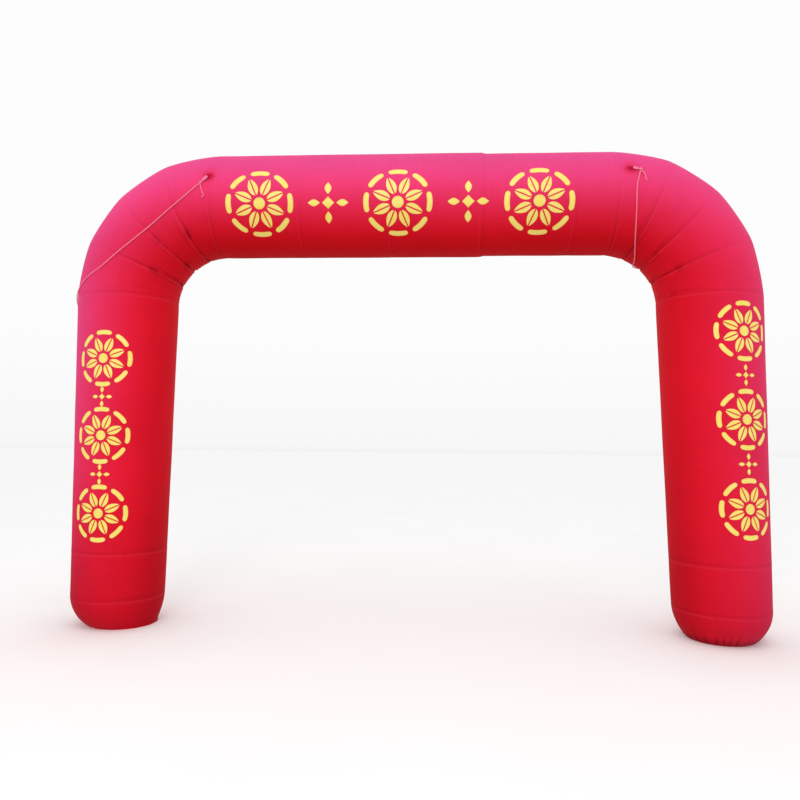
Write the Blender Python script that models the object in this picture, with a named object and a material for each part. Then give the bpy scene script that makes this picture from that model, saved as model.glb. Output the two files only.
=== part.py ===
"""Inflatable entrance arch of coated oxford cloth, 6.0 m wide and 4.16 m high.

Metres, +Z up, origin on the ground midway between the outsides of the two legs. The beam runs
along X, and the face with the guy ropes' ties looks along -Y. One air-filled tube goes up a
leg, round a bend of four gores, along the beam and down again. Each cloth panel that a maker
would cut is one filled solid, which ends in a seam where the tube is drawn in a little.
"""

import math

import bmesh
import bpy
import numpy as np

# Driving dimensions
LEG_AXIS_X = 2.565  # middle of a leg at its top seam, from the middle of the arch
BEAM_AXIS_Z = 3.711
BEND_R = 0.859  # radius of the tube's axis in the two bends
BEAM_TUBE_R = 0.446
BEAM_SLIM = 0.009  # how much slimmer the beam's last two panels are cut
BEND_SWELL = 0.006  # how much fuller the tube is in the middle of a bend
LEG_TOP_TUBE_R = 0.427
FOOT_TUBE_R = 0.385
STEP_OUT = {"left": 0.0, "right": 0.059}  # how much further out a foot stands than its leg's top
MIDDLE_SHIFT_X = -0.0087  # brings the outsides of the legs to the same distance from the origin

# Panels and seams
GORES = 4
GORE_CHORD = 0.75  # how straight a gore runs on the outside of a bend: 0 round, 1 like a mitred pipe
BAND_SEAM_Z = 0.65
FOOT_SEAM_Z = 0.26
CLOTH_W = 0.77  # width that a bolt of the cloth leaves for each panel of the beam
FULL_PANELS = 3  # panels of the beam before the two slimmer ones
SEAM_DIP = 0.006
SEAM_REACH = 0.035  # distance over which the cloth swells out again beside a seam
INNER_NOTCH = 0.012  # how much deeper a bend's seam is drawn in at its inner corner
SOLE_R = {"left": 0.28, "right": 0.265}
SOLE_IN = {"left": 0.06, "right": 0.02}  # how much nearer to the arch's middle a sole sits than its foot
CORNER_SLACK = 1.7  # 1 gives a foot's lower corner a full round, and more cuts it off
FOOT_CORNER_H = 0.25
FOOT_PLEAT = 0.006  # height of the gathers round a foot's lower corner
AROUND = 36
PIECE_GAP = 0.0003

# Guy ropes, their ties and what is put away of them
ROPE_R = 0.005
ROPE_CLEAR = 0.0025  # between a rope and the cloth it lies on
KNOT_R = 0.014
TAB_W = 0.028
TAB_THICK = 0.004
PATCH_R = 0.052
COIL_R = 0.058  # to the middle of the turns
COIL_TURNS_ACROSS = 2
COIL_TURNS_HIGH = 2
COIL_AROUND = 28
COIL_CORNER = 0.6  # where its section's bevels start, as a share of the half width
COIL_BACK = 0.21  # from a rope's hanging stretch to the middle of its coil
SURFACE_STEP = 0.042
HANG_STEP = 0.25
GROUND_STEP = 0.022

# Places on the tube are (bend angle, angle around), in degrees. The bend angle is 0 at the
# leg's top seam and 90 at the beam's end seam, and goes on past both at the same rate. The
# angle around is 0 on the outside of the arch, 90 on its front and 180 on its inside.
TIES = {
    "left": {
        "patch": (89.5, 73),
        "knot": (85.6, 82),
        "tail": ((85.8, 88), (86.4, 93), (87.0, 96), (85.6, 98)),
    },
    "right": {
        "patch": (84.2, 68),
        "knot": (79.9, 70),
        "tail": ((78.4, 73), (77.3, 77), (76.9, 80), (76.0, 82)),
    },
}
ROUTES = {
    "left": (
        (75, 94), (63, 101), (49, 104), (36, 101), (23, 92), (13, 79), (6, 56),
        (0, 32), (-8, 4), (-18, -24), (-30, -48), (-45, -66), (-62, -76), (-80, -80),
    ),
    "right": (
        (80.3, 80), (80.5, 89), (79, 105), (76, 122), (71, 140), (65.3, 154), (59.8, 166), (56, 176),
        (54, 186), (52.5, 196), (50, 206), (45, 218), (37, 230), (27, 241), (14, 251), (0, 257),
        (-15, 260.5), (-32, 262),
    ),
}  # fmt: skip
# How each rope turns onto the ground: share of the way back to its coil, height of its middle
LANDING = ((0.0, 0.16), (0.04, 0.085), (0.15, 0.032), (0.35, 0.0075), (0.65, 0.0055), (1.0, 0.0055))

RED = (0.80, 0.01, 0.05)
DEEP_RED = (0.55, 0.01, 0.04)
ROPE_PINK = (0.85, 0.50, 0.56)

SIGN = {"left": -1, "right": 1}
BEND_X = LEG_AXIS_X - BEND_R
LEG_TOP_Z = BEAM_AXIS_Z - BEND_R
BEND_LENGTH = BEND_R * math.pi / 2
BEAM_END = BEND_LENGTH + 2 * BEND_X
ANGLES = np.linspace(0, 2 * math.pi, AROUND, endpoint=False)
FRONT = np.array((0.0, -1.0, 0.0))


def slimmer(side, run):
    """How much slimmer the tube is in the beam's last two panels, and towards them in the right bend."""
    if side == "left":
        share = (run - BEND_LENGTH - FULL_PANELS * CLOTH_W) / SEAM_REACH
    else:
        share = 1 - (BEND_LENGTH - run) * GORES / BEND_LENGTH
    return BEAM_SLIM * min(max(share, 0), 1)


def axis_at(side, run):
    """Middle, outward direction, tangent and radius of the tube `run` metres past the leg's top."""
    sign = SIGN[side]
    if run <= 0:
        down = -run / LEG_TOP_Z
        x = sign * (LEG_AXIS_X + STEP_OUT[side] * down)
        radius = LEG_TOP_TUBE_R + (FOOT_TUBE_R - LEG_TOP_TUBE_R) * down
        middle, out, tangent = (x, 0, LEG_TOP_Z + run), (sign, 0, 0), (0, 0, 1)
    elif run < BEND_LENGTH:
        turn = run / BEND_R
        cos, sin = math.cos(turn), math.sin(turn)
        radius = LEG_TOP_TUBE_R + (BEAM_TUBE_R - LEG_TOP_TUBE_R) * sin**2 + BEND_SWELL * 2 * sin * cos
        radius -= slimmer(side, run)
        middle = (sign * (BEND_X + BEND_R * cos), 0, LEG_TOP_Z + BEND_R * sin)
        out, tangent = (sign * cos, 0, sin), (-sign * sin, 0, cos)
    else:
        radius = BEAM_TUBE_R - slimmer(side, run)
        middle = (sign * (BEND_X - (run - BEND_LENGTH)), 0, BEAM_AXIS_Z)
        out, tangent = (0, 0, 1), (-sign, 0, 0)
    middle = np.array(middle, float) + (MIDDLE_SHIFT_X, 0, 0)
    return middle, np.array(out, float), np.array(tangent, float), radius


def gore_flat(side, run, around):
    """How far a gore's outer side, nearly straight from seam to seam, lies inside a round bend."""
    if not 0 < run < BEND_LENGTH:
        return 0 * around
    half = math.pi / 4 / GORES
    from_middle = run / BEND_R % (2 * half) - half
    flat = GORE_CHORD * (1 - math.cos(half) / math.cos(from_middle))
    return flat * (BEND_R + axis_at(side, run)[3]) * np.maximum(np.cos(around), 0) ** 2


def on_tube(side, place, lift):
    """Point `lift` above the tube's plain surface at a (bend angle, angle around) place."""
    run, around = math.radians(place[0]) * BEND_R, math.radians(place[1])
    middle, out, _, radius = axis_at(side, run)
    across = math.cos(around) * out + math.sin(around) * FRONT
    return middle + (radius + lift) * across - gore_flat(side, run, around) * out


def ring(side, run, dip, push=0.0, radius=None, pleat=0.0, inwards=0.0):
    """One cross-section of the tube, drawn in by `dip` shares of a seam and pushed along the axis."""
    middle, out, tangent, plain_radius = axis_at(side, run)
    turn = min(max(run / BEND_LENGTH, 0), 1)
    at_bend = 0.4 + 0.6 * math.sin(math.pi * turn) if 0 <= run <= BEND_LENGTH * 1.0001 else 0
    inner = ((1 - np.cos(ANGLES)) / 2) ** 3
    drawn = (radius or plain_radius) - dip * (SEAM_DIP + INNER_NOTCH * at_bend * inner)
    drawn = drawn + pleat * (-1.0) ** np.arange(AROUND)
    across = np.cos(ANGLES)[:, None] * out + np.sin(ANGLES)[:, None] * FRONT
    inwards = inwards + gore_flat(side, run, ANGLES)
    return middle + tangent * push + drawn[:, None] * across - inwards[:, None] * out


def panel_rings(side, start, end, stations):
    """Cross-sections of one panel between two seams, its ends half a gap short of each."""
    rings = []
    for share in stations:
        run = start + (end - start) * share
        to_seam = min(share, 1 - share) * (end - start)
        push = PIECE_GAP / 2 * (1 if share == 0 else -1 if share == 1 else 0)
        rings.append(ring(side, run, math.exp(-to_seam / SEAM_REACH), push))
    return rings


def foot_rings(side):
    """A foot from its flat sole, round its gathered corner and up to the foot seam."""
    rings = []
    for angle in (0, 15, 30, 45, 60, 75):
        rise = FOOT_CORNER_H * (1 - math.cos(math.radians(angle)))
        full = axis_at(side, rise - LEG_TOP_Z)[3]
        up = math.sin(math.radians(angle))
        radius = SOLE_R[side] + (full - SOLE_R[side]) * up**CORNER_SLACK
        pleat = FOOT_PLEAT * math.sin(math.radians(2 * angle))
        rings.append(ring(side, rise - LEG_TOP_Z, 0, 0, radius, pleat, SOLE_IN[side] * (1 - up)))
    rings.append(ring(side, FOOT_SEAM_Z - SEAM_REACH - LEG_TOP_Z, math.exp(-1)))
    rings.append(ring(side, FOOT_SEAM_Z - LEG_TOP_Z, 1, -PIECE_GAP / 2))
    return rings


def add_piece(name, data, middle, colour, roughness=0.55):
    """Places a mesh or curve at its middle, under the arch's empty, with its own Principled material."""
    material = bpy.data.materials.new(name)
    material.use_nodes = True
    shader = material.node_tree.nodes["Principled BSDF"]
    shader.inputs["Base Color"].default_value = (*colour, 1)
    shader.inputs["Roughness"].default_value = roughness
    shader.inputs["Metallic"].default_value = 0
    material.diffuse_color = (*colour, 1)
    data.materials.append(material)
    item = bpy.data.objects.new(name, data)
    item.location = middle
    item.parent = bpy.data.objects["arch"]
    bpy.context.collection.objects.link(item)


def lofted(name, rings, colour, closed_ring=False):
    """A solid through rings of equally many points, capped at both ends or joined end to end."""
    rings = np.array(rings)
    count, size = rings.shape[:2]
    middle = rings.mean(axis=(0, 1))
    faces = []
    for row in range(count if closed_ring else count - 1):
        low, high = row * size, (row + 1) % count * size
        faces += [(low + i, low + (i + 1) % size, high + (i + 1) % size, high + i) for i in range(size)]
    if not closed_ring:
        faces += [range(size), range((count - 1) * size, count * size)]
    mesh = bpy.data.meshes.new(name)
    mesh.from_pydata((rings - middle).reshape(-1, 3), [], faces)
    shape = bmesh.new()
    shape.from_mesh(mesh)
    bmesh.ops.recalc_face_normals(shape, faces=shape.faces)
    shape.to_mesh(mesh)
    shape.free()
    mesh.shade_smooth()
    mesh.set_sharp_from_angle(angle=math.radians(50))
    add_piece(name, mesh, middle, colour)


def tube(name, points, colour, shares=None):
    """A round cord through the points, with `shares` of the rope's radius at each."""
    curve = bpy.data.curves.new(name, "CURVE")
    curve.dimensions = "3D"
    curve.bevel_depth = ROPE_R
    curve.bevel_resolution = 2
    curve.use_fill_caps = True
    middle = np.mean(points, axis=0)
    spline = curve.splines.new("POLY")
    spline.points.add(len(points) - 1)
    for index, point in enumerate(points):
        spline.points[index].co = (*(point - middle), 1)
        spline.points[index].radius = shares[index] if shares else 1
    add_piece(name, curve, middle, colour, 0.7)


def smooth_route(points, steps):
    """Points `steps` apart along the centripetal Catmull-Rom curve through the route's own points."""
    points = np.array(points, float)
    ends = (2 * points[0] - points[1], *points, 2 * points[-1] - points[-2])
    route = [points[0]]
    for index in range(len(points) - 1):
        p0, p1, p2, p3 = ends[index : index + 4]
        t1 = np.linalg.norm(p1 - p0) ** 0.5
        t2 = t1 + np.linalg.norm(p2 - p1) ** 0.5
        t3 = t2 + np.linalg.norm(p3 - p2) ** 0.5
        pieces = max(1, round(np.linalg.norm(p2 - p1) / steps[index]))
        for piece in range(1, pieces + 1):
            t = t1 + (t2 - t1) * piece / pieces
            a1 = (p0 * (t1 - t) + p1 * t) / t1
            a2 = (p1 * (t2 - t) + p2 * (t - t1)) / (t2 - t1)
            a3 = (p2 * (t3 - t) + p3 * (t - t2)) / (t3 - t2)
            b1 = (a1 * (t2 - t) + a2 * t) / t2
            b2 = (a2 * (t3 - t) + a3 * (t - t1)) / (t3 - t1)
            route.append((b1 * (t2 - t) + b2 * (t - t1)) / (t2 - t1))
    return route


def make_tube_of_panels():
    """Feet, bands, legs, bends and beam, each panel a solid of its own."""
    for side in SIGN:
        band, foot = BAND_SEAM_Z - LEG_TOP_Z, FOOT_SEAM_Z - LEG_TOP_Z
        lofted(f"{side}_foot", foot_rings(side), RED)
        lofted(f"{side}_leg_band", panel_rings(side, foot, band, (0, 0.1, 0.5, 0.9, 1)), RED)
        lofted(f"{side}_leg", panel_rings(side, band, 0, (0, 0.018, 0.25, 0.62, 0.982, 1)), RED)
        for gore in range(GORES):
            start, end = (BEND_LENGTH * share / GORES for share in (gore, gore + 1))
            stations = (0, 0.08, 0.25, 0.5, 0.75, 0.92, 1)
            lofted(f"{side}_gore_{gore + 1}", panel_rings(side, start, end, stations), RED)
    seams = [*np.arange(BEND_LENGTH, BEAM_END, CLOTH_W), BEAM_END]
    for number, (start, end) in enumerate(zip(seams, seams[1:]), 1):
        lofted(f"beam_panel_{number}", panel_rings("left", start, end, (0, 0.06, 0.5, 0.94, 1)), RED)


def make_patch(side):
    """The gathered round patch that a rope is tied to: folds run from its rim to a nub."""
    bend_angle, around = TIES[side]["patch"]
    radius = axis_at(side, math.radians(bend_angle) * BEND_R)[3]
    stretch = BEND_R + radius * math.cos(math.radians(around))
    underside = ((0.12, 0.001), (0.55, 0.001), (1.0, 0.001))
    upper_side = ((1.0, 0.003), (0.72, 0.0055), (0.42, 0.009), (0.26, 0.016), (0.12, 0.019))
    rings = []
    for share, lift in underside + upper_side:
        points = []
        for fold in range(24):
            angle = 2 * math.pi * fold / 24
            fold_lift = 0.0015 * (-1) ** fold if 0.003 < lift < 0.016 else 0
            reach = share * PATCH_R * (1 + 0.05 * (-1) ** fold)
            place = (
                bend_angle + math.degrees(reach * math.cos(angle) / stretch),
                around + math.degrees(reach * math.sin(angle) / radius),
            )
            points.append(on_tube(side, place, lift + fold_lift))
        rings.append(points)
    lofted(f"{side}_tie_patch", rings, DEEP_RED)


def make_tab(side):
    """The cloth loop from the patch's nub to the knot, a flat strap that narrows to the knot."""
    start, end = (on_tube(side, TIES[side][name], 0.0) for name in ("patch", "knot"))
    normal = on_tube(side, TIES[side]["patch"], 1.0) - start
    along = end - start
    length = np.linalg.norm(along)
    along /= length
    across = np.cross(normal, along)
    across /= np.linalg.norm(across)
    first, last = PATCH_R * 0.42, length - KNOT_R * 1.25
    rings = []
    strap = ((0, 0.8, 0.0145), (0.35, 1.0, 0.0145), (0.7, 0.85, 0.0155), (1, 0.5, 0.017))
    for share, width, lift in strap:
        spot = np.array(TIES[side]["patch"]) * (1 - share) + np.array(TIES[side]["knot"]) * share
        up = on_tube(side, spot, 1.0) - on_tube(side, spot, 0.0)
        base = start + along * (first + (last - first) * share)
        level = np.dot(on_tube(side, spot, 0.0) - base, up)
        half = across * TAB_W * width / 2
        low, high = up * (level + lift - TAB_THICK / 2), up * (level + lift + TAB_THICK / 2)
        rings.append([base - half + low, base + half + low, base + half + high, base - half + high])
    lofted(f"{side}_tie_tab", rings, DEEP_RED)


def make_rope(side):
    """The knot with its short tail, the guy rope down behind the leg, and its coil."""
    lift = ROPE_R + ROPE_CLEAR
    knot = on_tube(side, TIES[side]["knot"], KNOT_R + ROPE_CLEAR)
    tail = [on_tube(side, place, lift + 0.002) for place in TIES[side]["tail"]]
    top = knot + (knot - tail[0]) / np.linalg.norm(knot - tail[0]) * KNOT_R
    lump = [top, top * 0.65 + knot * 0.35, knot, knot * 0.45 + tail[0] * 0.55]
    tail = smooth_route(tail, [GROUND_STEP / 2] * len(tail))
    shares = [1.2, 2.3, 2.7, 1.9] + [1] * (len(tail) - 1) + [1.25]
    tube(f"{side}_tie_knot", [*lump, *tail], ROPE_PINK, shares)

    route = [on_tube(side, place, lift) for place in ROUTES[side]]
    away = route[0] - knot
    route.insert(0, knot + away / np.linalg.norm(away) * (KNOT_R + 0.003))
    width, height = (turns * ROPE_R for turns in (COIL_TURNS_ACROSS, COIL_TURNS_HIGH))
    into_coil = math.sqrt((COIL_R + width) ** 2 - (COIL_R - ROPE_R) ** 2)
    to_coil = COIL_BACK - into_coil - 2 * PIECE_GAP
    hang = route[-1]
    steps = [SURFACE_STEP] * (len(route) - 1) + [HANG_STEP] * 2 + [GROUND_STEP] * (len(LANDING) - 1)
    route += [(hang[0], hang[1], hang[2] / 2)]
    route += [(hang[0], hang[1] + to_coil * share, middle_z) for share, middle_z in LANDING]
    tube(f"{side}_guy_rope", smooth_route(route, steps), ROPE_PINK)

    middle = np.array((hang[0] + SIGN[side] * COIL_R, hang[1] + COIL_BACK, height))
    corner = COIL_CORNER
    section = ((1, -corner), (1, corner), (corner, 1), (-corner, 1))
    section += tuple((-x, -z) for x, z in section)
    rings = []
    for angle in np.linspace(0, 2 * math.pi, COIL_AROUND, endpoint=False):
        out = np.array((math.cos(angle), math.sin(angle), 0))
        rings.append([middle + out * (COIL_R + width * x) + (0, 0, height * z) for x, z in section])
    lofted(f"{side}_guy_coil", rings, ROPE_PINK, closed_ring=True)


def main():
    for item in list(bpy.data.objects):
        bpy.data.objects.remove(item)
    bpy.context.collection.objects.link(bpy.data.objects.new("arch", None))
    make_tube_of_panels()
    for side in SIGN:
        make_patch(side)
        make_tab(side)
        make_rope(side)


main()
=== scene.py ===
"""Looks of a blown-up entrance arch of red oxford cloth with yellow ornaments and two guy ropes.

Metres, +Z up. The beam runs along X and the front looks along -Y. The file follows the arch as
it is put together: the blown-up tube panel by panel, the ornaments on it, the ties, the ropes,
and then the studio that it stands in.
"""

import math

import bpy
import numpy as np
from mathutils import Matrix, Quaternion, Vector


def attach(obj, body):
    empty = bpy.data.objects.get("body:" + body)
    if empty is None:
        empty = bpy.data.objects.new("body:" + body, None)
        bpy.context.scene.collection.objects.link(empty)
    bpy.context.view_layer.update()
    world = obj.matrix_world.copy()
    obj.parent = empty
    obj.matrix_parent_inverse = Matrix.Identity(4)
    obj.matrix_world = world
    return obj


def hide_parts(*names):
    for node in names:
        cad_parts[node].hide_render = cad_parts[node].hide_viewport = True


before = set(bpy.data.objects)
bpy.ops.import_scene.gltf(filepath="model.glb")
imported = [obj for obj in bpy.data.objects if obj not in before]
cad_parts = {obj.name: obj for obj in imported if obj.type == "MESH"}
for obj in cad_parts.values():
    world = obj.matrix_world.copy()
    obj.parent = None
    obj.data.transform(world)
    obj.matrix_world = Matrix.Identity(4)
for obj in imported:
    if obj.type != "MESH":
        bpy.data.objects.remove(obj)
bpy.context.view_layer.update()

# ---------------------------------------------------------------------------------------------
# The tube. One bag of cloth held up by a blower: it goes up a leg, round a bend of four gores,
# along the beam and down again. Where two panels are sewn together the cloth is drawn in.

LEG_AXIS_X = 2.565
BEAM_AXIS_Z = 3.711
BEND_R = 0.859
BEAM_TUBE_R = 0.446
BEAM_SLIM = 0.009  # how much slimmer the beam's last two panels are cut
SLIM_REACH = 0.035  # length past the seam in which the tube gets that much slimmer
BEND_SWELL = 0.006  # how much fuller the tube is in the middle of a bend
LEG_TOP_TUBE_R = 0.427
FOOT_TUBE_R = 0.385
STEP_OUT = {"left": 0.0, "right": 0.059}  # how much further out a leg stands on the ground
MIDDLE_SHIFT_X = -0.0087
SIGN = {"left": -1, "right": 1}
SEED = {"left": 11, "right": 12}  # of what is uneven on each side
BEND_X = LEG_AXIS_X - BEND_R
LEG_TOP_Z = BEAM_AXIS_Z - BEND_R
BEND_LENGTH = BEND_R * math.pi / 2
FRONT = np.array((0.0, -1.0, 0.0))

GORES = 4
GORE_CHORD = 0.75  # how straight a gore runs on the outside of a bend: 0 round, 1 like a mitred pipe
BAND_SEAM = 0.65 - LEG_TOP_Z  # seams as metres past a leg's top seam
FOOT_SEAM = 0.26 - LEG_TOP_Z
CLOTH_W = 0.77
PANEL_GAP = 0.00015  # between a seam and the edge of each panel
FULL_PANELS = 3  # panels of the beam before the two slimmer ones
BEAM_END = BEND_LENGTH + 2 * BEND_X
GORE_SEAMS = [BEND_LENGTH * gore / GORES for gore in range(GORES + 1)]
BEAM_SEAMS = [*np.arange(BEND_LENGTH, BEAM_END, CLOTH_W), BEAM_END]
HEMS = (FOOT_SEAM, BAND_SEAM, 0.0)  # these seams are lapped, with two rows of stitches
HEM_W = 0.036

# Where the guy ropes are tied to the shoulders: (bend angle, angle around) in degrees. The bend
# angle is 0 at a leg's top seam and 90 at the beam's end seam. The angle around is 0 on the
# outside of the arch, 90 on its front and 180 on its inside.
TIES = {
    "left": {
        "patch": (89.5, 73),
        "knot": (85.6, 82),
        "tail": ((85.8, 88), (86.4, 93), (87.0, 96), (85.6, 98)),
    },
    "right": {
        "patch": (84.2, 68),
        "knot": (79.9, 70),
        "tail": ((78.4, 73), (77.3, 77), (76.9, 80), (76.0, 82)),
    },
}


def smooth(x, low, high):
    """0 below low, 1 above high, and the cubic 3t^2 - 2t^3 between them."""
    t = np.clip((x - low) / (high - low), 0, 1)
    return t * t * (3 - 2 * t)


def tube_frame(side, run):
    """Middle, outward direction and radius of the tube, `run` metres past a leg's top seam.

    The axis is straight below the seam, a quarter circle of BEND_R above it and straight again
    past that. The radius grows evenly up a leg, and with the turn's squared sine in a bend.
    """
    sign = SIGN[side]
    turn = np.clip(run / BEND_R, 0, math.pi / 2)
    down = np.clip(-run / LEG_TOP_Z, 0, None)
    past = np.clip(run - BEND_LENGTH, 0, None)
    x = sign * (BEND_X + BEND_R * np.cos(turn) + STEP_OUT[side] * down - past) + MIDDLE_SHIFT_X
    z = LEG_TOP_Z + BEND_R * np.sin(turn) + np.minimum(run, 0)
    radius = LEG_TOP_TUBE_R + (BEAM_TUBE_R - LEG_TOP_TUBE_R) * np.sin(turn) ** 2
    radius = radius + BEND_SWELL * np.sin(2 * turn)
    slim = (past - FULL_PANELS * CLOTH_W) / SLIM_REACH
    if side == "right":
        slim = 1 - (BEND_LENGTH - run) * GORES / BEND_LENGTH
    radius = radius - BEAM_SLIM * np.clip(slim, 0, 1)
    radius = radius + (FOOT_TUBE_R - LEG_TOP_TUBE_R) * down
    level = np.zeros_like(x)
    return np.stack([x, level, z], -1), np.stack([sign * np.cos(turn), level, np.sin(turn)], -1), radius


def on_round(side, run, around, lift):
    """Points `lift` off the plain tube: its middle plus the radius along the outward direction
    turned by `around` towards the front. On the outside of a bend each gore is nearly straight,
    so there the surface lies inside the round one by 1 - cos(half a gore) / cos(angle from its
    middle), times its distance from the bend's own middle."""
    middle, out, radius = tube_frame(side, run)
    half = math.pi / 4 / GORES
    turn = np.clip(run / BEND_R, 0, math.pi / 2 - 1e-9)
    flat = GORE_CHORD * (1 - math.cos(half) / np.cos(turn % (2 * half) - half))
    flat = flat * (BEND_R + radius) * np.maximum(np.cos(around), 0) ** 2
    across = np.cos(around)[..., None] * out + np.sin(around)[..., None] * FRONT
    return middle + (radius + lift)[..., None] * across - flat[..., None] * out


def waves(run, around, counts, lengths, seed):
    """A sum of cosine waves on the tube, from -1 to 1: each has a whole number of turns round it
    between counts[0] and counts[1], and a wavelength along it between lengths[0] and lengths[1]."""
    rng = np.random.default_rng(seed)
    total = 0.0
    added = 7
    for _ in range(added):
        turns = rng.integers(counts[0], counts[1] + 1)
        pace = 2 * math.pi / rng.uniform(*lengths) * rng.choice((-1, 1))
        total = total + np.cos(turns * around + pace * run + rng.uniform(0, 2 * math.pi))
    return total / added


def seam_offset(run, seams=(FOOT_SEAM, BAND_SEAM, *GORE_SEAMS, *BEAM_SEAMS)):
    """Distance from the nearest of the seams that go round the tube, negative on its leg's side."""
    gaps = np.stack([run - seam for seam in seams])
    nearest = np.argmin(np.abs(gaps), axis=0)
    return np.take_along_axis(gaps, nearest[None], 0)[0]


def bend_share(run):
    """1 in a bend, 0 on the legs and the beam, and a short smooth step between them."""
    return smooth(run, -0.02, 0.05) * (1 - smooth(run, BEND_LENGTH - 0.05, BEND_LENGTH + 0.02))


def relief(side, run, around):
    """How far the cloth stands off the plain tube: seams draw it in, most at a bend's inner
    corner, where it also puckers; between them it is nearly smooth, with slack in places."""
    turn = np.clip(run / BEND_LENGTH, 0, 1)
    in_bend = bend_share(run)
    inner = (1 - np.cos(around)) / 2  # 0 on the outside of the arch, 1 on its inside
    off = np.abs(seam_offset(run))
    hem = np.abs(seam_offset(run, HEMS))
    seed = SEED[side]
    deep = (0.0006 + 0.0024 * smooth(inner, 0.3, 0.8)) * (0.25 + 0.75 * in_bend)
    deep = deep + (0.0012 + 0.0100 * (0.4 + 0.6 * np.sin(math.pi * turn)) * in_bend) * inner**5
    drawn = -deep * (0.85 * np.exp(-off / 0.032) + 0.15 * np.exp(-off / 0.007))
    # the corner between two gores is a little rounded on the outside of the arch
    drawn = drawn + in_bend * (1 - inner) ** 2 * (0.004 - 0.005 * np.exp(-off / 0.035))
    # the beam hangs a little fuller underneath
    drawn = drawn + 0.0035 * inner**2 * smooth(run, 0.6 * BEND_LENGTH, BEND_LENGTH)
    # a lapped seam stands up a little, between its two rows of stitches
    lap = 0.0006 * np.exp(-(((hem - HEM_W / 2) / (HEM_W / 2)) ** 8)) * (1 - 0.6 * inner**3)
    lap = lap - 0.0004 * np.exp(-(((hem - HEM_W) / 0.006) ** 2))
    # gathers run across each seam and die out beside it
    gather = waves(run, around, (20, 44), (0.25, 0.6), seed) * np.exp(-off / 0.045)
    gather = gather * (0.0004 + (0.0010 + 0.0062 * in_bend) * inner**4)
    # pleats beside the seams at a bend's inner corner, where there is more cloth than room
    uneven = waves(run, around, (3, 9), (0.3, 0.7), seed + 7)
    pleat = np.cos(2 * math.pi * off / 0.052 + 2.6 * uneven) * (0.6 + 0.8 * uneven)
    pleat = 0.0052 * in_bend * smooth(inner, 0.66, 1.0) * pleat * np.exp(-off / 0.08)
    slack = 0.0016 * waves(run, around, (1, 4), (0.5, 1.3), seed + 20)
    folds = 0.0006 * waves(run, around, (7, 15), (0.9, 2.6), seed + 40)
    return drawn + lap + gather + pleat + slack + folds + pucker(side, run, around) - 0.0008


def from_patch(side, run, around):
    """Metres along the tube and round it from the middle of a shoulder's tie patch."""
    bend_angle, angle = (math.radians(value) for value in TIES[side]["patch"])
    radius = tube_frame(side, np.array(bend_angle * BEND_R))[2]
    along = (run - bend_angle * BEND_R) * (1 + radius * math.cos(angle) / BEND_R)
    return along, (around - angle) * radius


def pucker(side, run, around):
    """The dimple and the folds that a tied rope pulls into the cloth round its patch, most of
    them towards the beam and away from it."""
    along, across = from_patch(side, run, around)
    away = np.hypot(along, across)
    heading = np.arctan2(across, along)
    folds = np.cos(9 * heading + 1.5 * np.sin(2 * heading)) * (0.5 + 0.5 * np.cos(heading) ** 2)
    folds = folds * np.exp(-away / 0.085) * smooth(away, 0.0, 0.06)
    return -0.007 * np.exp(-((away / 0.055) ** 2)) + 0.0042 * folds - 0.0015 * np.exp(-away / 0.12)


def on_cloth(side, run, around, lift=0.0):
    """Points `lift` off the blown-up cloth with all its relief."""
    return on_round(side, run, around, relief(side, run, around) + lift)


def skin(name, rings, uv=None, marks=None):
    """A closed mesh over rings (count, around, 3), each joined to the next, with a fan of
    triangles to the middle of both end rings. uv (count, around + 1, 2) is in metres, and
    marks are point attributes of shape (count, around)."""
    rings = np.asarray(rings, float)
    count, size = rings.shape[:2]
    ends = rings[[0, -1]].mean(axis=1)
    points = np.concatenate([rings.reshape(-1, 3), ends])
    row, column = np.mgrid[0 : count - 1, 0:size]
    here, beside = row * size + column, row * size + (column + 1) % size
    quads = np.stack([here, beside, beside + size, here + size], -1)
    k = np.arange(size)
    after = (k + 1) % size
    low = np.stack([after, k, np.full(size, count * size)], -1)
    last = (count - 1) * size
    high = np.stack([last + k, last + after, np.full(size, count * size + 1)], -1)
    mesh = bpy.data.meshes.new(name)
    corners = np.concatenate([quads.ravel(), low.ravel(), high.ravel()])
    starts = np.concatenate([np.arange(0, quads.size, 4), quads.size + np.arange(2 * size) * 3])
    mesh.vertices.add(len(points))
    mesh.loops.add(len(corners))
    mesh.polygons.add(len(starts))
    mesh.vertices.foreach_set("co", points.ravel())
    mesh.loops.foreach_set("vertex_index", corners.astype(np.int32))
    mesh.polygons.foreach_set("loop_start", starts.astype(np.int32))
    mesh.update(calc_edges=True)
    if uv is not None:
        cells = np.stack([uv[:-1, :-1], uv[:-1, 1:], uv[1:, 1:], uv[1:, :-1]], 2).reshape(-1, 2)
        low_fan = np.stack([uv[0, 1:], uv[0, :-1], uv[0, :-1]], 1).reshape(-1, 2)
        high_fan = np.stack([uv[-1, :-1], uv[-1, 1:], uv[-1, 1:]], 1).reshape(-1, 2)
        flat = np.concatenate([cells, low_fan, high_fan])
        mesh.uv_layers.new(name="cloth").data.foreach_set("uv", flat.ravel())
    for label, values in (marks or {}).items():
        values = np.broadcast_to(values, (count, size))
        values = np.concatenate([values.ravel(), [values[0].mean(), values[-1].mean()]])
        mesh.attributes.new(label, "FLOAT", "POINT").data.foreach_set("value", values)
    # the rings may run either way round, so the faces are turned outwards by the sign of the volume
    a, b, c = (points[quads[..., corner]] for corner in (0, 1, 2))
    if (a * np.cross(b, c)).sum() < 0:
        mesh.flip_normals()
    mesh.shade_smooth()
    mesh.set_sharp_from_angle(angle=math.radians(60))
    piece = bpy.data.objects.new(name, mesh)
    bpy.context.scene.collection.objects.link(piece)
    return piece


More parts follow.
